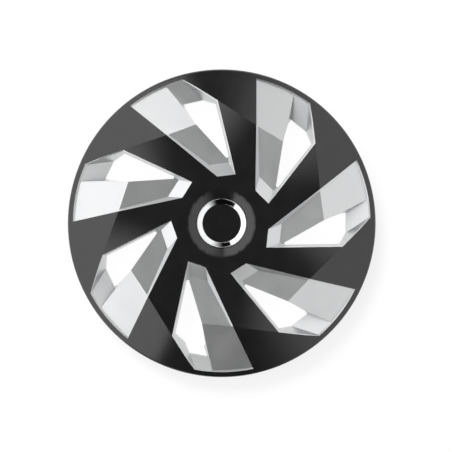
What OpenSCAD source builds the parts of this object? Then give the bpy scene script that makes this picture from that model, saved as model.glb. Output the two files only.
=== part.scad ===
// Wheel trim for a 15 inch road wheel: one moulded cover with seven folded swirl blades and
// recessed windows, a bright bezel pressed into its hub, and a spring wire in its clips.
// Millimetres, +Z along the axle towards the viewer, origin under the middle of the clip tips.

/* [Cover] */
// Radius of the outer edge
rim_r = 200; // [197:1:205]
// Height of the virtual cone edge above the clip tips
edge_h = 30; // [28:0.5:34]
// Height of the flat hub plateau above the cone edge
crown_h = 25; // [23:0.5:27]
// Fall of the outer cone for each millimetre of radius
cone_slope = 0.31; // [0.29:0.005:0.33]
// Radius at which the inner blade faces leave the hub plateau
plateau_r = 60; // [59:0.5:61]
// Wall thickness of the moulding
wall = 2.5; // [2:0.1:3]
// Depth of the rolled edge below the cone edge
edge_drop = 9; // [7:0.5:11]
// Thickness of the rolled edge
edge_wall = 3; // [2.5:0.1:4]
// Radius of the round over the outer edge
edge_round = 4; // [3:0.5:5]

/* [Blades] */
// Number of blades and windows
blade_count = 7; // [7]
// Direction of the first window, degrees from +X
first_window = 10; // [0:1:51]
// Index of the window that the tyre valve passes through
valve_window = 5; // [0:1:6]
// Distance from the axle to the straight fold of each blade, seen along the axle
fold_dist = 128.1; // [127:0.1:129]
// Direction of the normal to that fold, degrees from the window's own axis
fold_turn = -5.1; // [-5.5:0.1:-4.8]
// Flats across each inner blade face
fold_flats = 12; // [6:1:14]

/* [Windows] */
// Radius of the outer edge of each window
window_r = 192.5; // [191:0.1:193.5]
// Width of the chamfer along that outer edge
arc_chamfer = 1.7; // [1:0.1:2]
// Depth of the silver floor below the blade at the fold
floor_step = 2.3; // [2.1:0.1:2.5]
// Width of the bevel along the windows' deep edges
edge_bevel = 1.3; // [1:0.1:1.5]

/* [Hub] */
// Outer radius of the conical dish round the bezel
dish_r = 43.5; // [42:0.5:45]
// Inner radius of the dish, at the gap round the bezel
dish_in_r = 32.1; // [31.9:0.1:32.5]
// Height of the dish's inner edge above the cone edge
dish_in_h = 21.3; // [20:0.1:22]
// Height of the bezel seat above the cone edge
seat_h = 15; // [14:0.5:16]
// Radius of the flat centre disc
disc_r = 24; // [23.5:0.1:24.1]
// Height of the centre disc above the cone edge
disc_h = 18.5; // [17.5:0.1:19]

/* [Bezel] */
// Outer radius of the bright ring
bezel_r = 31.3; // [31:0.1:31.6]
// Inner radius of the bright ring
bezel_in_r = 24.4; // [24.3:0.1:24.6]
// Height of its outer lip above the seat
bezel_h = 7; // [6.5:0.1:7.5]
// Height of its inner lip above the seat
bezel_in_h = 3.9; // [3.5:0.1:4.2]
// Radius of its rounded lips
lip_r = 0.6; // [0.4:0.1:0.8]
// Number of snap legs
leg_count = 3; // [3]

/* [Clips and wire] */
// Radius of the wire's centre line
wire_r = 173; // [172:0.5:174]
// Diameter of the spring wire
wire_d = 3; // [2.5:0.1:3.2]
// Height of the wire above the clip tips
wire_h = 12; // [11:0.5:13]
// Direction of each clip pair, degrees from its window's axis
clip_turn = 29.2; // [28:0.1:30]
// Width of one clip finger
finger_w = 9; // [8:0.5:10]
// Distance between the middles of the two fingers
finger_gap = 19; // [18:0.5:21]
// Thickness of one clip finger
finger_t = 5; // [4:0.5:6]
// How far its barb stands out
barb = 3.5; // [2:0.5:4]
// Half angle of the wire's open end
wire_gap = 9; // [8:1:10]
// Direction of the middle of the wire's open end
wire_gap_dir = 260; // [259:1:261]

/* [Ribs] */
// Outer radius of the collar behind the hub
collar_r = 53; // [52:0.5:54]
// Thickness of the collar and of the ribs
rib_t = 2.2; // [1.6:0.2:3]
// Height of their lower edge above the cone edge
rib_h = 5; // [3:0.5:7]

/* [Hidden] */

BLACK = [0.09, 0.09, 0.095];
CHROME = [0.85, 0.86, 0.88];
STEEL = [0.55, 0.56, 0.58];
$fn = 96;
PITCH = 360 / blade_count;
FAR = 40;          // above every surface of the cover, from the cone edge
UNDER = -60;       // below every surface of the cover
DEEP = -edge_h;    // the clip tips
FIT = 0.05;        // clearance of the wire in its notches
LIFT = 0.1;        // the blades' rulings start this far above the plateau, 1 mm inside its edge
CASING = 0.98;     // share of the wall by which a recess's casing stands out from it
BEVEL_DROP = 0.85 * edge_bevel; // depth of the bevel along the windows' deep edges
BEVEL_END = 4.8;   // its ends on the inner ramp, from the ramp's upper edge
BEVEL_TAPER = 0.2; // its depth where it runs out at the rim
EDGE_RUN = 0.8;    // the inner ramp runs on past its upper edge
SPARE = 1;         // a wall's upper end stands this far over the floor beside it
ROUND = 180;       // segments round the rim
LEG_R = 27.2;      // inner radius, thickness and width of the bezel's snap legs
LEG_T = 1.4;
LEG_W = 6;
LEG_DEEP = wall + 4;
FIRST_LEG = 30;    // direction of the first leg
GROOVE_WALL = 1.5; // the bezel is hollow underneath, with walls this thick
GROOVE_H = 1.2;
GUSSET_T = 2;      // gussets that prop the clips from inside, and their run along the face
GUSSET_RUN = 15;
RIB_START = [51, -6.5];
RIB_TURN = 36.5;
RIB_LEN = 112;

// Corners of a window in its own plan, x along the window's axis and y towards the next one
INNER_A = [49.7, -40.1];   // inner end, low side
INNER_B = [56.8, -17.7];   // inner end, high side
FOLD_P = [130.5, 21.0];    // where the blade's fold meets the window
CORNER = [147.0, -56.4];   // low side corner by the rim
OUT_A = [198.8, -21.6];    // low side edge, run on past the outer arc
OUT_B = [194.6, 54.7];     // high side edge, run on past the outer arc
FLOOR_A = [67.9, -37.9];   // foot of the inner ramp, low side
FLOOR_B = [75.2, -14.0];   // foot of the inner ramp, high side
TIP = [74.2, -38.1];       // inner tip of the open throat
TIP_LOW = [80, -45.2];     // low side edge beside that tip
TIP_LOW_Z = 22.1;          // height of that edge
TIP_FOOT = [80.3, -42.9];  // foot of the recess wall there
TIP_END = [74.4, -44.2];   // inner end of the throat's low side
TIP_END_Z = 22.6;          // height of that end
TIP_END_FOOT = [74.7, -41.2]; // the same end further down
BEND = [127.2, -19.2];     // the floor's edge at the fold
LAP = [129.4, -23.2];      // inside the throat, where both floors' recesses overlap
LAP_Z = 24;                // height of the recess's edge there, above the blade
LAP_FOOT = [128.8, -23.2]; // the same corner at the floor
LAP_BEVEL = [129.1, -23.2, 22.6]; // the same corner half way up
OUTER_LAP = [128, -27];    // inside the throat, inner corner of the outer recess
OUTER_LAP_OUT = [200, -8]; // over the outer ramp, outer corner of the outer recess
FOLD_TOP = [131.4, 21.5];  // end of the high side wall at the fold, on the blade
FOLD_FOOT = [130.9, 18.7]; // the same end at the floor
BRINK = [156.1, -12.2];    // the floor's edge at the outer ramp
BRINK_OUT = [200, 2.1];    // the same edge, run on past the outer arc
BRINK_IN = [160.1, -11.3]; // over the outer ramp, beside the brink
BRINK_FOOT = [157.6, -14.0]; // foot of the wall under the brink
RAMP_A = [158.3, -40.1];   // inner end of the outer ramp, low side
RAMP_B = [162.6, -15.3];   // inner end of the outer ramp, high side
RAMP_OUT_A = [193, -23.5]; // outer end of the outer ramp, low side
RAMP_TOP_A = [192.5, -25.8]; // low side edge there, just past the outer arc
RAMP_OUT_B = [200, 3.1];   // outer end of the outer ramp, high side
SHOULDER = [162, -46.4];   // low side edge beside the outer ramp
THROAT_K = [146.5, -53.2]; // foot of the low side corner
RAMP_IN_A = [155.5, -41.4]; // the ramp's sides, run on inwards into the throat
RAMP_IN_B = [159.9, -16.6];
SHOULDER_IN = [159.5, -48.1];
BRINK_LAP = [153.2, -13.1];
VALVE_A = [171.5, -33.9];  // shortened ramp of the valve window, low side
VALVE_B = [174.6, -9.6];   // shortened ramp of the valve window, high side
VALVE_IN_A = [152.3, -43.0]; // inner end of the valve's notch, in the throat
VALVE_IN_B = [156.6, -18.2];

// Heights over the cone edge: the cone, and the planes of the silver facets
function cone_z(r) = cone_slope * (rim_r - r);
function plane_z(p, base, sx, sy) = base[2] + sx * (p[0] - base[0]) + sy * (p[1] - base[1]);
FOLD_Z = cone_z(norm(FOLD_P)) - floor_step;
function inner_floor(p) = plane_z(p, [FOLD_P[0], FOLD_P[1], FOLD_Z], 0.09, -0.0633);
function outer_floor(p) = plane_z(p, [FOLD_P[0], FOLD_P[1], FOLD_Z], -0.3157, -0.03);
function outer_ramp(p) = plane_z(p, [188.4, -2.6, -0.4], 0.37, -0.03);

// A ring of points: at one height, or each at its own height, and a line run on past its end
function level(plan, z) = [for (p = plan) [p[0], p[1], z]];
function heights(plan, zs) = [for (i = [0:len(plan) - 1]) [plan[i][0], plan[i][1], zs[i]]];
function run_on(from, to, by) = to + by * (to - from) / norm(to - from);

// A ring with each side moved out by d in plan, and lowered
function side_normal(a, b) = [b[1] - a[1], a[0] - b[0]] / norm([b[0] - a[0], b[1] - a[1]]);
function grown(ring, d, drop) = [
    for (i = [0:len(ring) - 1])
    let (n = len(ring))
    let (before = side_normal(ring[(i + n - 1) % n], ring[i]))
    let (after = side_normal(ring[i], ring[(i + 1) % n]))
    let (move = d * (before + after) / (1 + before * after))
    [ring[i][0] + move[0], ring[i][1] + move[1], ring[i][2] - drop]
];

// A corner of a window's edge, moved in by the bevel and lowered with it
function bevelled(before, p, after, z, drop = BEVEL_DROP) =
    let (a = side_normal(before, p), b = side_normal(p, after))
    let (move = edge_bevel * (a + b) / (1 + a * b))
    [p[0] - move[0], p[1] - move[1], z - drop];

// Solid through rings of equal length, the lowest first, each anticlockwise from above
module loft(rings) {
    n = len(rings[0]);
    last = (len(rings) - 1) * n;
    sides = [
        for (k = [0:len(rings) - 2]) for (i = [0:n - 1])
        let (a = k * n + i, b = k * n + (i + 1) % n)
        each [[a, a + n, b], [b, a + n, b + n]]
    ];
    floor = [for (i = [1:n - 2]) [0, i, i + 1]];
    roof = [for (i = [1:n - 2]) [last, last + i + 1, last + i]];
    polyhedron([for (r = rings) each r], concat(sides, floor, roof), 4);
}

// The fan of inner blade faces: rulings from the plateau to the straight fold, run on outwards
fold_start = 0.1 + asin(CORNER[1] / norm(CORNER));
function ruling_z(a, r) =
    let (fold_r = fold_dist / cos(a - fold_turn))
    let (fall = (crown_h + LIFT - cone_z(fold_r)) / (fold_r - plateau_r + 1))
    crown_h + LIFT - fall * (r - plateau_r + 1);
module fan(drop) {
    flats = blade_count * fold_flats;
    far = rim_r + 30;
    function place(q, r, z) =
        let (a = fold_start + (q % flats) * 360 / flats)
        [r * cos(a), r * sin(a), z];
    outer = [
        for (k = [0:blade_count - 1], i = [0:fold_flats])
        place(k * fold_flats + i, far, ruling_z(fold_start + i * 360 / flats, far) - drop)
    ];
    hub = [for (q = [0:flats - 1]) place(q, plateau_r - 1, crown_h + LIFT - drop)];
    foot = [for (q = [0:flats - 1]) place(q, far, UNDER)];
    centre = [[0, 0, crown_h + LIFT - drop], [0, 0, UNDER]];
    n = len(outer);
    top = n + 2 * flats;
    faces = [
        for (k = [0:blade_count - 1], i = [0:fold_flats - 1])
        let (a = k * fold_flats + i, b = (a + 1) % flats, p = a + k, before = (p + n - 1) % n)
        each [
            [p, n + a, p + 1], [p + 1, n + a, n + b], [n + a, top, n + b],
            [top + 1, n + flats + a, n + flats + b],
            i == 0
                ? [n + flats + a, before, p, p + 1, n + flats + b]
                : [n + flats + a, p, p + 1, n + flats + b]
        ]
    ];
    steps = [
        for (k = [0:blade_count - 1])
        let (first = k * (fold_flats + 1))
        [(first + n - 1) % n, n + k * fold_flats, first]
    ];
    polyhedron(concat(outer, hub, foot, centre), concat(faces, steps), 4);
}

// Top of the cover as a solid of revolution, before the blades are cut
module revolved_body() {
    flat_r = rim_r - crown_h / cone_slope;
    tangent = 90 - atan(cone_slope);
    round_r = rim_r - edge_round;
    round_z = cone_z(round_r) - edge_round / cos(atan(cone_slope));
    rotate_extrude($fn = ROUND)
        polygon(concat(
            [[0, UNDER], [0, disc_h], [disc_r, disc_h], [disc_r, seat_h], [dish_in_r, seat_h],
                [dish_in_r, dish_in_h], [dish_r, crown_h], [flat_r, crown_h]],
            [for (i = [0:4])
                let (a = tangent * (1 - i / 4))
                [round_r + edge_round * cos(a), round_z + edge_round * sin(a)]],
            [[rim_r, -edge_drop], [rim_r - edge_wall, -edge_drop], [rim_r - edge_wall, UNDER]]
        ));
}

// The hollow behind the face, one wall below it
module revolved_hollow() {
    slant = wall / cos(atan(cone_slope));
    flat_r = rim_r - (crown_h - wall + slant) / cone_slope;
    in_r = rim_r - edge_wall;
    rotate_extrude($fn = ROUND)
        polygon([
            [0, UNDER - 1], [0, seat_h - wall], [dish_in_r + wall, seat_h - wall],
            [dish_in_r + wall, dish_in_h - wall], [dish_r, crown_h - wall], [flat_r, crown_h - wall],
            [in_r, cone_z(in_r) - slant], [in_r, UNDER - 1]
        ]);
}

// One window's recess over its inner and outer silver floor, grown by the wall for its casing
module recess(d) {
    inner_plan = [FLOOR_A, TIP_FOOT, LAP_FOOT, FOLD_FOOT, FLOOR_B];
    foot = [for (p = inner_plan) [p[0], p[1], inner_floor(p)]];
    ramp_a = [INNER_A[0], INNER_A[1], crown_h];
    ramp_b = [INNER_B[0], INNER_B[1], crown_h];
    fold_z = cone_z(norm(FOLD_P));
    bevel = [
        run_on(foot[0], ramp_a, -BEVEL_END),
        bevelled(INNER_A, TIP_LOW, CORNER, TIP_LOW_Z),
        LAP_BEVEL,
        bevelled(OUT_B, FOLD_TOP, INNER_B, fold_z),
        run_on(foot[4], ramp_b, -BEVEL_END)
    ];
    edge = [
        run_on(foot[0], ramp_a, EDGE_RUN),
        [TIP_LOW[0], TIP_LOW[1], TIP_LOW_Z],
        [LAP[0], LAP[1], LAP_Z],
        [FOLD_TOP[0], FOLD_TOP[1], fold_z],
        run_on(foot[4], ramp_b, EDGE_RUN)
    ];
    side = CASING * d;
    loft(concat(
        [grown(foot, side, d)], d == 0 ? [bevel] : [],
        [grown(edge, side, 0), grown(level(edge, FAR), side, 0)]
    ));
    outer_plan = [OUTER_LAP, OUTER_LAP_OUT, OUT_B, FOLD_P];
    outer = [for (p = outer_plan) [p[0], p[1], outer_floor(p)]];
    loft([grown(outer, side, d), grown(level(outer_plan, FAR), side, 0)]);
}

// One window's outer ramp, from the arc down into the throat
module ramp(d) {
    foot = [RAMP_IN_A, RAMP_OUT_A, RAMP_OUT_B, RAMP_IN_B];
    head = [SHOULDER_IN, RAMP_TOP_A, BRINK_OUT, BRINK_LAP];
    head_z = [
        cone_z(norm(SHOULDER_IN)), outer_ramp(RAMP_TOP_A) + 2 * BEVEL_TAPER,
        outer_ramp(BRINK_OUT) + 2 * SPARE, outer_floor(BRINK_LAP) + SPARE
    ];
    low = [for (p = foot) [p[0], p[1], outer_ramp(p)]];
    bevel = [
        bevelled(CORNER, SHOULDER_IN, OUT_A, head_z[0]),
        bevelled(CORNER, RAMP_TOP_A, OUT_A, head_z[1], BEVEL_TAPER),
        [BRINK_OUT[0], BRINK_OUT[1], head_z[2] - SPARE],
        [BRINK_LAP[0], BRINK_LAP[1], head_z[3] - SPARE]
    ];
    loft(concat(
        [grown(low, d, d)], d == 0 ? [bevel] : [],
        [grown(heights(head, head_z), d, 0), grown(level(head, FAR), d, 0)]
    ));
}

// One window's open throat, with drafted walls, down to the heights in floor
module throat(d, floor) {
    head = [TIP_END, CORNER, SHOULDER, BRINK_IN, BRINK, BEND, TIP];
    head_z = [TIP_END_Z, cone_z(norm(CORNER)), cone_z(norm(SHOULDER)), 9, 10, 15, 16];
    foot = [TIP_END_FOOT, THROAT_K, RAMP_A, RAMP_B, BRINK_FOOT, BEND, TIP];
    foot_z = [7, -5, outer_ramp(RAMP_A), outer_ramp(RAMP_B), -9, 4, 8];
    bevel = concat(
        [
            bevelled(INNER_A, TIP_END, CORNER, head_z[0]),
            bevelled(TIP_END, CORNER, OUT_A, head_z[1]),
            bevelled(CORNER, SHOULDER, OUT_A, head_z[2])
        ],
        [for (i = [3:6]) [head[i][0], head[i][1], head_z[i] - SPARE]]
    );
    loft(concat(
        [grown(heights(foot, floor), d, 0), grown(heights(foot, foot_z), d, 0)],
        d == 0 ? [bevel] : [],
        [grown(heights(head, head_z), d, 0), grown(level(head, FAR), d, 0)]
    ));
}

// The valve window's throat runs further out
module valve_notch(d, floor) {
    plan = [VALVE_IN_A, VALVE_A, VALVE_B, VALVE_IN_B];
    loft([grown(level(plan, floor), d, 0), grown(level(plan, 6), d, 0)]);
}

module each_window() {
    for (k = [0:blade_count - 1])
        rotate([0, 0, first_window + k * PITCH])
            children();
}

// Everything inside the windows' outer arc, with its chamfer
module inside_arc() {
    top_z = cone_z(window_r);
    rotate_extrude($fn = ROUND)
        polygon([
            [0, UNDER], [window_r - arc_chamfer - 1.4, UNDER],
            [window_r - arc_chamfer, top_z - arc_chamfer], [window_r + 0.5, top_z + 0.5],
            [window_r + 0.5, FAR + 1], [0, FAR + 1]
        ]);
}

module window_cuts() {
    intersection() {
        inside_arc();
        union() {
            each_window() {
                recess(0);
                ramp(0);
                throat(0, [for (i = [0:6]) UNDER + 10]);
            }
            rotate([0, 0, first_window + valve_window * PITCH])
                valve_notch(0, UNDER + 10);
        }
    }
}

module window_casings() {
    skirt = [6, -7, -16, -15, -13, 3, 7];
    intersection() {
        translate([0, 0, UNDER])
            cylinder(h = FAR - UNDER, r = window_r + wall, $fn = ROUND);
        union() {
            each_window() {
                recess(wall);
                ramp(wall);
                throat(wall, skirt);
            }
            rotate([0, 0, first_window + valve_window * PITCH])
                valve_notch(wall - 0.3, skirt[4]);
        }
    }
}

// Clip finger standing behind the rim, with a barb outside
module finger() {
    out_r = wire_r + finger_t - 1;
    root_z = cone_z(out_r) - 1;
    translate([0, finger_w / 2, 0])
        rotate([90, 0, 0])
            linear_extrude(finger_w)
                polygon([
                    [wire_r - 1, root_z], [wire_r - 1, DEEP], [out_r - 1, DEEP],
                    [out_r + barb, DEEP + 4], [out_r + barb, DEEP + 5.5], [out_r, DEEP + 8],
                    [out_r, root_z]
                ]);
}

// Gusset that props a finger from inside
module gusset() {
    out_r = wire_r - 0.9;
    in_r = out_r - GUSSET_RUN;
    root_z = cone_z(out_r - GUSSET_RUN / 2) - 1;
    translate([0, GUSSET_T / 2, 0])
        rotate([90, 0, 0])
            linear_extrude(GUSSET_T)
                polygon([
                    [out_r, DEEP + wire_h + 4], [out_r, root_z], [in_r, root_z], [in_r, root_z - 3]
                ]);
}

module clips() {
    each_window()
        rotate([0, 0, clip_turn])
            for (side = [-1, 1])
                translate([0, side * finger_gap / 2, 0]) {
                    finger();
                    gusset();
                }
}

// Stiffening ribs behind the blades and a collar behind the hub
module ribs() {
    each_window()
        translate([RIB_START[0], RIB_START[1], 0])
            rotate([0, 0, RIB_TURN])
                translate([0, -rib_t / 2, rib_h])
                    cube([RIB_LEN, rib_t, crown_h - rib_h]);
    difference() {
        translate([0, 0, rib_h])
            cylinder(h = crown_h - 1 - rib_h, r = collar_r);
        translate([0, 0, rib_h - 1])
            cylinder(h = crown_h + 1 - rib_h, r = collar_r - rib_t);
    }
}

module leg_slots() {
    for (i = [0:leg_count - 1])
        rotate([0, 0, FIRST_LEG + i * 360 / leg_count])
            translate([LEG_R - 0.2, -LEG_W / 2 - 1, 0])
                cube([LEG_T + 1, LEG_W + 2, crown_h]);
}

module cover() {
    color(BLACK)
        translate([0, 0, edge_h])
            difference() {
                intersection() {
                    revolved_body();
                    rotate([0, 0, first_window])
                        fan(0);
                }
                difference() {
                    intersection() {
                        revolved_hollow();
                        rotate([0, 0, first_window])
                            fan(wall + 0.05);
                    }
                    window_casings();
                    clips();
                    ribs();
                }
                window_cuts();
                leg_slots();
                translate([0, 0, wire_h - edge_h])
                    rotate_extrude($fn = ROUND)
                        translate([wire_r, 0])
                            circle(d = wire_d + 2 * FIT, $fn = 24);
            }
}

module bezel() {
    color(CHROME)
        translate([0, 0, edge_h + seat_h]) {
            rotate_extrude()
                difference() {
                    union() {
                        polygon([
                            [bezel_in_r, 0], [bezel_r, 0], [bezel_r, bezel_h - lip_r],
                            [bezel_r - lip_r, bezel_h], [bezel_in_r + lip_r, bezel_in_h],
                            [bezel_in_r, bezel_in_h - lip_r]
                        ]);
                        translate([bezel_r - lip_r, bezel_h - lip_r])
                            circle(r = lip_r, $fn = 24);
                        translate([bezel_in_r + lip_r, bezel_in_h - lip_r])
                            circle(r = lip_r, $fn = 24);
                    }
                    translate([bezel_in_r + GROOVE_WALL, -1])
                        square([bezel_r - bezel_in_r - 2 * GROOVE_WALL, GROOVE_H + 1]);
                }
            for (i = [0:leg_count - 1])
                rotate([0, 0, FIRST_LEG + i * 360 / leg_count])
                    leg();
        }
}

// Snap leg of the bezel, with a barb that hooks under the seat
module leg() {
    out_r = LEG_R + LEG_T;
    translate([0, LEG_W / 2, 0])
        rotate([90, 0, 0])
            linear_extrude(LEG_W)
                polygon([
                    [LEG_R, GROOVE_H + 0.8], [out_r, GROOVE_H + 0.8], [out_r, -wall - 0.1],
                    [out_r + LEG_T, -wall - 0.1], [out_r, -LEG_DEEP], [LEG_R, -LEG_DEEP]
                ]);
}

module retaining_wire() {
    open = 360 - 2 * wire_gap;
    color(STEEL)
        translate([0, 0, wire_h])
            rotate([0, 0, wire_gap_dir + wire_gap]) {
                rotate_extrude(angle = open, $fn = ROUND)
                    translate([wire_r, 0])
                        circle(d = wire_d, $fn = 24);
                for (a = [0, open])
                    rotate([0, 0, a])
                        translate([wire_r, 0, 0])
                            sphere(d = 0.97 * wire_d, $fn = 24);
            }
}

cover();
bezel();
retaining_wire();
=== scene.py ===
"""Looks of the wheel trim: painted cover with silver windows, chrome bezel and spring wire.

Metres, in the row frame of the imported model, +Z towards the viewer. Sizes repeat the CAD source's.
"""

import math

import bmesh
import bpy
import numpy as np
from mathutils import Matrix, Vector
from mathutils.bvhtree import BVHTree


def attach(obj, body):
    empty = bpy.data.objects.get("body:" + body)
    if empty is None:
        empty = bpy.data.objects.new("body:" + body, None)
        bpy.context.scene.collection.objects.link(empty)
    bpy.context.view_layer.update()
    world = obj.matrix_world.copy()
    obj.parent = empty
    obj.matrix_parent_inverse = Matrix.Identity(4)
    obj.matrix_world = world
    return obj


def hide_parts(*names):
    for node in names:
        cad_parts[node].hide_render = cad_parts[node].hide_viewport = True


MM = 0.001

# Photograph: 452 pixels square, taken straight down the axle
FRAME_PX = 452
RIM_PX = 154.324
CENTRE_PX = (221.745, 223.268)
CAMERA_TO_EDGE = 1.04
SENSOR_MM = 36

# Cover, as in the CAD source
EDGE_H = 30 * MM
RIM_R = 200 * MM
CONE_SLOPE = 0.31
CROWN_Z = EDGE_H + 25 * MM
PLATEAU_R = 60 * MM
DISH_R = 43.5 * MM
ROUND_R = 4 * MM
WINDOW_R = 192.4 * MM
BLADES = 7
PITCH = 360 / BLADES
FIRST_WINDOW = 10         # turn of the first window's axis from +X, in degrees

# Folds of the blades, turned in degrees from the axis of the blade's window
FOLD_DIST = 128.1 * MM
FOLD_TURN = -5.1
FOLD_START = -20.89
RULING_R = PLATEAU_R - MM         # radius where the rulings of the inner blade faces start
RULING_Z = CROWN_Z + 0.1 * MM     # and their height there

# Corners of a window in its own plan, x along the window's axis and y towards the next window
INNER_A = (49.7 * MM, -40.1 * MM)
INNER_B = (56.8 * MM, -17.7 * MM)
OUT_B = (194.6 * MM, 54.7 * MM)
OUT_A = (198.8 * MM, -21.6 * MM)
CORNER = (147.0 * MM, -56.4 * MM)
OUTLINE = (INNER_A, CORNER, OUT_A, OUT_B, INNER_B)

# Rounded rim: where it starts on the cone, and the height of its centre line
ROUND_START = RIM_R - ROUND_R * (1 - math.sin(math.atan(CONE_SLOPE)))
ROUND_Z = EDGE_H + CONE_SLOPE * ROUND_R - ROUND_R * math.hypot(1, CONE_SLOPE)

# Sorting of the cover's faces
KINDS = ("face", "window", "back")
FRONT_LOW_Z = EDGE_H - 8 * MM     # the black front reaches down to here
ARC_MARGIN = 0.05 * MM            # a window's arc is taken this much wider
PLAN_STEP = 0.1 * MM              # a face is looked up this far off its surface
RAY_STEP = 0.01 * MM              # a ray starts this far off it

# Mesh of the dressed cover
WELD = 0.002 * MM                 # corners nearer than this become one
SLIVER = 0.0005 * MM              # edges shorter than this go
CROWN_MARGIN = 0.003 * MM         # a face this little below the crown is flat
LONG_EDGE = 8 * MM
HALVINGS = 4
SOFT_EDGE = math.radians(20)
TINY = 1e-12

# Noise is nearly all between these values
NOISE_LOW = 0.3
NOISE_HIGH = 0.7
TINT_LOW = 0.35
TINT_HIGH = 0.65

# Floor. The camera and reflections see a glowing white and a faint share of the light that falls on
# it, which carries the shadow; under the trim, where the lamps don't reach, painted light lifts the
# glow
FLOOR_HALF = 6
FLOOR_GREY = 0.8
SHADOW_GREY = 0.16
# glow under the trim, raised by painted light that hides the trim's shadow on the floor
GLOW_UNDER_PAINTED_LIGHT = 0.95
GLOW_BESIDE = 0.8
PAINTED_LIGHT_FADE_WIDTH = 15 * MM             # width of the ring inside the rim where the painted light under the trim fades out

# Softboxes of the studio. Turns are in degrees anticlockwise from +X, and tilts in degrees from
# straight up. An end that moves is given as (tilt, turn, tilt, turn).
LIT_TILTS = (15, 28)              # dark before the first, lit after the second
STRIP_TILTS = (66, 72)
LEFT_BOX = dict(
    middle=173,
    start=(35, 93, 58, 114),
    end=(46, 247, 58, 233),
    fades=(4, 4),
    tilts=LIT_TILTS,
    light=1.52,
)
RIGHT_BOX = dict(
    middle=10,
    start=-77,
    end=(35, 101, 48, 94),
    fades=(32, 36),
    tilts=LIT_TILTS,
    light=1.06,
)
TOP_STRIP = dict(middle=93, start=68, end=118, fades=(8, 8), tilts=STRIP_TILTS, light=1.7)
LOW_STRIP = dict(middle=243, start=222, end=264, fades=(8, 8), tilts=STRIP_TILTS, light=0.9)
DIM = 0.003                       # light from where no softbox is

# Lamp that throws the shadow, from the upper left
KEY_ENERGY = 3
KEY_WIDTH = 25
KEY_TILT = 50
KEY_TURN = 120


def turn_of(x, y):
    return math.degrees(math.atan2(y, x))


def in_blade(x, y):
    """Angle of a plan point within its blade, in degrees from the axis of the blade's window."""
    return FOLD_START + (turn_of(x, y) - FIRST_WINDOW - FOLD_START) % PITCH


def cone_z(r):
    return EDGE_H + CONE_SLOPE * (RIM_R - r)


def inner_slopes(r, a):
    """Slopes outwards and anticlockwise of the inner blade face, at radius r and blade angle a."""
    turn = math.radians(a - FOLD_TURN)
    fold_r = FOLD_DIST / math.cos(turn)
    fall = (RULING_Z - cone_z(fold_r)) / (fold_r - RULING_R)
    painted_light_fade = (CONE_SLOPE - fall) / (fold_r - RULING_R) * fold_r * math.tan(turn)
    return -fall, -painted_light_fade * (r - RULING_R) / r


def front_normal(x, y, z, middle):
    """Unit normal of the true black front at a corner of the face with that middle."""
    r = math.hypot(x, y)
    middle_r = math.hypot(middle.x, middle.y)
    out = np.array((x, y, 0)) / r
    if middle_r > ROUND_START:
        n = out * (r - RIM_R + ROUND_R) + np.array((0, 0, z - ROUND_Z))
        return n / np.linalg.norm(n)
    if middle.z > CROWN_Z - CROWN_MARGIN:
        return np.array((0, 0, 1.0))
    a = in_blade(middle.x, middle.y)
    if middle_r * math.cos(math.radians(a - FOLD_TURN)) > FOLD_DIST:
        outwards, anticlockwise = -CONE_SLOPE, 0
    else:
        past = (turn_of(x, y) - turn_of(middle.x, middle.y) + 180) % 360 - 180
        outwards, anticlockwise = inner_slopes(r, a + past)
    n = np.array((0, 0, 1)) - outwards * out - anticlockwise * np.array((-out[1], out[0], 0))
    return n / np.linalg.norm(n)


def inside_outline(p):
    """Whether a point of a window's own plan is inside the window."""
    if math.hypot(*p) > WINDOW_R + ARC_MARGIN:
        return False
    sides = zip(OUTLINE, OUTLINE[1:] + OUTLINE[:1])
    return all((b[0] - a[0]) * (p[1] - a[1]) > (b[1] - a[1]) * (p[0] - a[0]) for a, b in sides)


def over_a_window(x, y):
    """Whether a plan point is over a window: the nearest one or one of its neighbours."""
    nearest = round((turn_of(x, y) - FIRST_WINDOW) / PITCH)
    for k in (nearest - 1, nearest, nearest + 1):
        a = -math.radians(FIRST_WINDOW + k * PITCH)
        turned = (x * math.cos(a) - y * math.sin(a), x * math.sin(a) + y * math.cos(a))
        if inside_outline(turned):
            return True
    return False


def kinds_of_faces(bm):
    """Kind of each face of the cover: the black front, a window's silver, or the back."""
    tree = BVHTree.FromBMesh(bm)
    kinds = []
    for f in bm.faces:
        c = f.calc_center_median()
        off = c + f.normal * PLAN_STEP
        open_above = tree.ray_cast(c + f.normal * RAY_STEP, Vector((0, 0, 1)))[0] is None
        if open_above and over_a_window(off.x, off.y):
            kinds.append("window")
        elif open_above and c.z > FRONT_LOW_Z:
            kinds.append("face")
        else:
            kinds.append("back")
    return kinds


def front_faces(bm, kind):
    return [f for f in bm.faces if KINDS[f[kind]] == "face"]


def cut_at_folds(bm, kind):
    """Cuts the black front along the folds, so that each of its faces lies on one side."""
    for k in range(BLADES):
        a = math.radians(FIRST_WINDOW + k * PITCH + FOLD_TURN)
        across = Vector((math.cos(a), math.sin(a), 0))
        front = front_faces(bm, kind)
        edges = list({e for f in front for e in f.edges})
        corners = list({v for f in front for v in f.verts})
        bmesh.ops.bisect_plane(
            bm,
            geom=corners + edges + front,
            dist=WELD,
            plane_co=across * FOLD_DIST,
            plane_no=across,
        )


def split_long_edges(bm, kind):
    """Halves the long edges of the black front a few times, so that its faces get small."""
    for _ in range(HALVINGS):
        edges = {e for f in front_faces(bm, kind) for e in f.edges}
        long_edges = [e for e in edges if e.calc_length() > LONG_EDGE]
        bmesh.ops.subdivide_edges(bm, edges=long_edges, cuts=1)
        bmesh.ops.triangulate(bm, faces=[f for f in bm.faces if len(f.verts) > 3])


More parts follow.
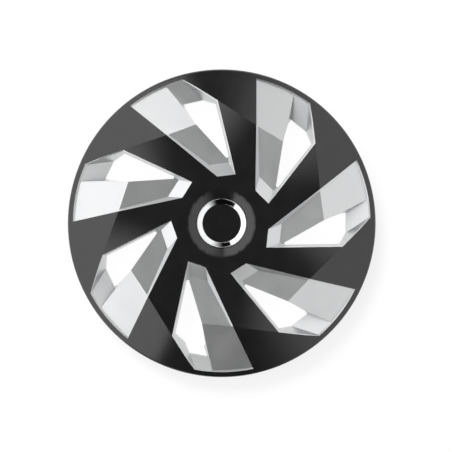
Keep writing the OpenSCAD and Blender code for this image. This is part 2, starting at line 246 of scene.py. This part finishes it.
def corner_normals(mesh, kinds):
    """Normals smooth across edges flatter than SOFT_EDGE, and the true surface's on the front."""
    faces = mesh.polygons
    around = [[] for _ in mesh.vertices]
    for f in faces:
        for v in f.vertices:
            around[v].append(f.index)
    normal = np.array([f.normal for f in faces])
    area = np.array([f.area for f in faces])
    flat = math.cos(SOFT_EDGE)
    out = []
    for f in faces:
        front = kinds[f.index] == "face" and math.hypot(f.center.x, f.center.y) > DISH_R
        for v in f.vertices:
            if front:
                out.append(front_normal(*mesh.vertices[v].co, f.center))
                continue
            near = [g for g in around[v] if normal[g] @ normal[f.index] > flat]
            n = (normal[near] * area[near, None]).sum(0)
            out.append(n / max(np.linalg.norm(n), TINY))
    return out


def part_of_cover(name, source, kinds, normals, dress):
    """A piece made of the cover's faces of the kinds in dress, which gives each kind's material."""
    picked = [f for f in source.polygons if kinds[f.index] in dress]
    used = sorted({v for f in picked for v in f.vertices})
    index = {v: i for i, v in enumerate(used)}
    corners = [source.vertices[v].co for v in used]
    mesh = bpy.data.meshes.new(name)
    mesh.from_pydata(corners, [], [[index[v] for v in f.vertices] for f in picked])
    for material in dress.values():
        mesh.materials.append(material)
    slots = {kind: i for i, kind in enumerate(dress)}
    for face, origin in zip(mesh.polygons, picked):
        face.material_index = slots[kinds[origin.index]]
        face.use_smooth = True
    mesh.normals_split_custom_set([normals[i] for f in picked for i in f.loop_indices])
    piece = bpy.data.objects.new(name, mesh)
    bpy.context.collection.objects.link(piece)
    return piece


def new_material(name, **settings):
    material = bpy.data.materials.new(name)
    material.use_nodes = True
    shader = material.node_tree.nodes["Principled BSDF"]
    for key, value in settings.items():
        shader.inputs[key].default_value = value
    return material, material.node_tree, shader


def add(tree, kind, **values):
    """A new node; a value is set on the input of that name, or else on the node itself."""
    node = tree.nodes.new(kind)
    for key, value in values.items():
        if key in node.inputs:
            node.inputs[key].default_value = value
        else:
            setattr(node, key, value)
    return node


def noise(tree, scale, detail):
    where = add(tree, "ShaderNodeTexCoord")
    node = add(tree, "ShaderNodeTexNoise", Scale=scale, Detail=detail, Roughness=0.5)
    tree.links.new(where.outputs["Object"], node.inputs["Vector"])
    return node.outputs[0]


def tint(tree, shader, dark, light, scale, detail=2):
    """Base colour that varies between dark and light."""
    ramp = add(tree, "ShaderNodeValToRGB")
    ends = ((TINT_LOW, dark), (TINT_HIGH, light))
    for element, (position, colour) in zip(ramp.color_ramp.elements, ends):
        element.position = position
        element.color = (*colour, 1)
    tree.links.new(noise(tree, scale, detail), ramp.inputs[0])
    tree.links.new(ramp.outputs[0], shader.inputs["Base Color"])


def roughen(tree, shader, low, high, scale, detail):
    """Roughness that varies between low and high."""
    level = mapped(tree, noise(tree, scale, detail), NOISE_LOW, low, NOISE_HIGH, high)
    tree.links.new(level, shader.inputs["Roughness"])


def emboss(tree, shader, depth, scale, detail):
    """Fine relief of that depth, in metres."""
    bump = add(tree, "ShaderNodeBump", Distance=depth, Strength=1.0)
    tree.links.new(noise(tree, scale, detail), bump.inputs["Height"])
    tree.links.new(bump.outputs[0], shader.inputs["Normal"])


def black_paint():
    material, tree, shader = new_material("black_paint", IOR=1.6)
    tint(tree, shader, (0.0085, 0.0085, 0.009), (0.0103, 0.0103, 0.0106), scale=60)
    roughen(tree, shader, low=0.11, high=0.14, scale=35, detail=4)
    emboss(tree, shader, depth=0.0012 * MM, scale=900, detail=1)
    return material


def silver_paint():
    material, tree, shader = new_material("silver_paint", Metallic=0.93)
    tint(tree, shader, (0.6, 0.605, 0.61), (0.7, 0.705, 0.71), scale=3500, detail=1)
    roughen(tree, shader, low=0.35, high=0.4, scale=40, detail=4)
    emboss(tree, shader, depth=0.0015 * MM, scale=2600, detail=1)
    return material


def raw_plastic():
    material, tree, shader = new_material("raw_black_plastic", IOR=1.5)
    tint(tree, shader, (0.016, 0.016, 0.017), (0.024, 0.024, 0.025), scale=90, detail=5)
    roughen(tree, shader, low=0.42, high=0.55, scale=50, detail=4)
    emboss(tree, shader, depth=0.01 * MM, scale=1400, detail=3)
    return material


def chrome():
    material, tree, shader = new_material("chrome", Metallic=1)
    tint(tree, shader, (0.86, 0.865, 0.87), (0.9, 0.905, 0.91), scale=50)
    roughen(tree, shader, low=0.04, high=0.08, scale=120, detail=3)
    emboss(tree, shader, depth=0.0005 * MM, scale=700, detail=1)
    return material


def drawn_steel():
    material, tree, shader = new_material("drawn_steel", Metallic=1)
    tint(tree, shader, (0.42, 0.42, 0.43), (0.56, 0.56, 0.57), scale=400, detail=4)
    roughen(tree, shader, low=0.25, high=0.42, scale=700, detail=4)
    emboss(tree, shader, depth=0.006 * MM, scale=3000, detail=2)
    return material


def dress_cover(node):
    """The painted cover and the silver of its windows, which stand for the CAD cover."""
    bm = bmesh.new()
    bm.from_mesh(node.data)
    bmesh.ops.remove_doubles(bm, verts=bm.verts, dist=WELD)
    bm.normal_update()
    bm.faces.ensure_lookup_table()
    kind = bm.faces.layers.int.new("kind")
    for face, name in zip(bm.faces, kinds_of_faces(bm)):
        face[kind] = KINDS.index(name)
    cut_at_folds(bm, kind)
    split_long_edges(bm, kind)
    bmesh.ops.dissolve_degenerate(bm, edges=bm.edges, dist=SLIVER)
    kinds = [KINDS[face[kind]] for face in bm.faces]
    whole = bpy.data.meshes.new("whole_cover")
    bm.to_mesh(whole)
    bm.free()
    normals = corner_normals(whole, kinds)
    shell_dress = {"face": black_paint(), "back": raw_plastic()}
    shell = part_of_cover("cover_shell", whole, kinds, normals, shell_dress)
    silver = part_of_cover("cover_windows", whole, kinds, normals, {"window": silver_paint()})
    bpy.data.meshes.remove(whole)
    for piece, slot in ((shell, "cover_black"), (silver, "window_silver")):
        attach(piece, "root")
    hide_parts("cover")


def dress_node(node, material):
    node.data.materials.clear()
    node.data.materials.append(material)


def floor():
    side = FLOOR_HALF
    corners = [(-side, -side, 0), (side, -side, 0), (side, side, 0), (-side, side, 0)]
    mesh = bpy.data.meshes.new("floor")
    mesh.from_pydata(corners, [], [(0, 1, 2, 3)])
    mesh.materials.append(white_floor())
    piece = bpy.data.objects.new("floor", mesh)
    bpy.context.collection.objects.link(piece)


def white_floor():
    """Grey to the object's light; to the camera and reflections glowing white with a shadow, and
    painted light under the trim.
    """
    material = bpy.data.materials.new("white_floor")
    material.use_nodes = True
    tree = material.node_tree
    tree.nodes.clear()
    shade = add(tree, "ShaderNodeBsdfDiffuse", Color=(FLOOR_GREY, FLOOR_GREY, FLOOR_GREY, 1))
    faint = add(tree, "ShaderNodeBsdfDiffuse", Color=(SHADOW_GREY, SHADOW_GREY, SHADOW_GREY, 1))
    glow = add(tree, "ShaderNodeEmission")
    where = add(tree, "ShaderNodeTexCoord")
    distance = add(tree, "ShaderNodeVectorMath", operation="LENGTH")
    lit = add(tree, "ShaderNodeAddShader")
    mix = add(tree, "ShaderNodeMixShader")
    out = add(tree, "ShaderNodeOutputMaterial")
    tree.links.new(where.outputs["Object"], distance.inputs[0])
    # painted light: the glow rises under the trim, lifting the shadow seen through the windows
    painted_light_fade = (RIM_R - PAINTED_LIGHT_FADE_WIDTH, GLOW_UNDER_PAINTED_LIGHT, RIM_R, GLOW_BESIDE)
    tree.links.new(mapped(tree, distance.outputs["Value"], *painted_light_fade), glow.inputs["Strength"])
    tree.links.new(faint.outputs[0], lit.inputs[0])
    tree.links.new(glow.outputs[0], lit.inputs[1])
    tree.links.new(seen_directly(tree), mix.inputs[0])
    tree.links.new(shade.outputs[0], mix.inputs[1])
    tree.links.new(lit.outputs[0], mix.inputs[2])
    tree.links.new(mix.outputs[0], out.inputs["Surface"])
    return material


def seen_directly(tree):
    """1 for camera, glossy and transmission rays."""
    path = add(tree, "ShaderNodeLightPath")
    rays = [path.outputs[f"Is {name} Ray"] for name in ("Camera", "Glossy", "Transmission")]
    return calculated(tree, "MAXIMUM", calculated(tree, "MAXIMUM", rays[0], rays[1]), rays[2])


def calculated(tree, operation, *values):
    """Result of a math node, whose inputs are numbers or outputs of other nodes."""
    node = add(tree, "ShaderNodeMath", operation=operation)
    for socket, value in zip(node.inputs, values):
        if isinstance(value, (int, float)):
            socket.default_value = value
        else:
            tree.links.new(value, socket)
    return node.outputs[0]


def mapped(tree, value, low, at_low, high, at_high):
    """Value that goes evenly from at_low to at_high while the input goes from low to high."""
    node = add(tree, "ShaderNodeMapRange")
    ends = {"From Min": low, "To Min": at_low, "From Max": high, "To Max": at_high}
    for name, end in ends.items():
        node.inputs[name].default_value = end
    tree.links.new(value, node.inputs["Value"])
    return node.outputs[0]


def smooth_step(tree, value, low, high):
    node = add(tree, "ShaderNodeMapRange", interpolation_type="SMOOTHSTEP")
    node.inputs["From Min"].default_value = low
    node.inputs["From Max"].default_value = high
    tree.links.new(value, node.inputs["Value"])
    return node.outputs[0]


def end_at(tree, tilt, end):
    """Turn of a softbox's end, which may move with the tilt."""
    return end if isinstance(end, (int, float)) else mapped(tree, tilt, *end)


def softbox(tree, turn, tilt, box):
    """Light of one softbox for a direction's turn and tilt."""
    opposite = box["middle"] - 180
    wrapped = calculated(
        tree, "FLOORED_MODULO", calculated(tree, "SUBTRACT", turn, opposite), 360
    )
    around = calculated(tree, "ADD", wrapped, opposite)
    past_start = calculated(tree, "SUBTRACT", around, end_at(tree, tilt, box["start"]))
    before_end = calculated(tree, "SUBTRACT", end_at(tree, tilt, box["end"]), around)
    light = box["light"]
    steps = (
        smooth_step(tree, past_start, 0, box["fades"][0]),
        smooth_step(tree, before_end, 0, box["fades"][1]),
        smooth_step(tree, tilt, *box["tilts"]),
    )
    for step in steps:
        light = calculated(tree, "MULTIPLY", light, step)
    return light


def studio():
    """World of softboxes, which the camera sees as white."""
    world = bpy.data.worlds.new("studio")
    bpy.context.scene.world = world
    world.use_nodes = True
    tree = world.node_tree
    tree.nodes.clear()
    where = add(tree, "ShaderNodeTexCoord")
    axes = add(tree, "ShaderNodeSeparateXYZ")
    tree.links.new(where.outputs["Generated"], axes.inputs[0])
    x, y, z = axes.outputs
    turn = calculated(tree, "DEGREES", calculated(tree, "ARCTAN2", y, x))
    tilt = calculated(tree, "DEGREES", calculated(tree, "ARCCOSINE", z))
    total = DIM
    for box in (LEFT_BOX, RIGHT_BOX, TOP_STRIP, LOW_STRIP):
        total = calculated(tree, "ADD", softbox(tree, turn, tilt, box), total)
    path = add(tree, "ShaderNodeLightPath")
    light = add(tree, "ShaderNodeBackground", Color=(1, 1, 1, 1))
    backdrop = add(tree, "ShaderNodeBackground", Color=(1, 1, 1, 1), Strength=1.0)
    mix = add(tree, "ShaderNodeMixShader")
    out = add(tree, "ShaderNodeOutputWorld")
    tree.links.new(total, light.inputs["Strength"])
    tree.links.new(path.outputs["Is Camera Ray"], mix.inputs[0])
    tree.links.new(light.outputs[0], mix.inputs[1])
    tree.links.new(backdrop.outputs[0], mix.inputs[2])
    tree.links.new(mix.outputs[0], out.inputs["Surface"])


def key_light():
    """Lamp for the soft shadow on the floor, left out of reflections."""
    data = bpy.data.lights.new("key", "SUN")
    data.energy = KEY_ENERGY
    data.angle = math.radians(KEY_WIDTH)
    piece = bpy.data.objects.new("key", data)
    piece.rotation_euler = (0, math.radians(KEY_TILT), math.radians(KEY_TURN))
    piece.visible_glossy = False
    bpy.context.collection.objects.link(piece)


def camera():
    data = bpy.data.cameras.new("camera")
    data.sensor_width = SENSOR_MM
    data.lens = RIM_PX * CAMERA_TO_EDGE / RIM_R / FRAME_PX * SENSOR_MM
    data.shift_x = (FRAME_PX / 2 - CENTRE_PX[0]) / FRAME_PX
    data.shift_y = (CENTRE_PX[1] - FRAME_PX / 2) / FRAME_PX
    piece = bpy.data.objects.new("camera", data)
    bpy.context.collection.objects.link(piece)
    piece.location = (0, 0, EDGE_H + CAMERA_TO_EDGE)
    bpy.context.scene.camera = piece


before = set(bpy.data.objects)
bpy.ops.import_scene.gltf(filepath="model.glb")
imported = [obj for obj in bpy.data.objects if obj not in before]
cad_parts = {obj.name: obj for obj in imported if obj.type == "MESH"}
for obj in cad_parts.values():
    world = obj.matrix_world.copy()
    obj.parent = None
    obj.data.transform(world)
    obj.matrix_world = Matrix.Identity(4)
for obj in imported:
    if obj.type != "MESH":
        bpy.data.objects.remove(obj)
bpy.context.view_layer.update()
camera()
dress_cover(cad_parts["cover"])
dress_node(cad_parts["bezel"], chrome())
dress_node(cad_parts["retaining_wire"], drawn_steel())
floor()
studio()
key_light()
bpy.context.scene.view_settings.view_transform = "Standard"
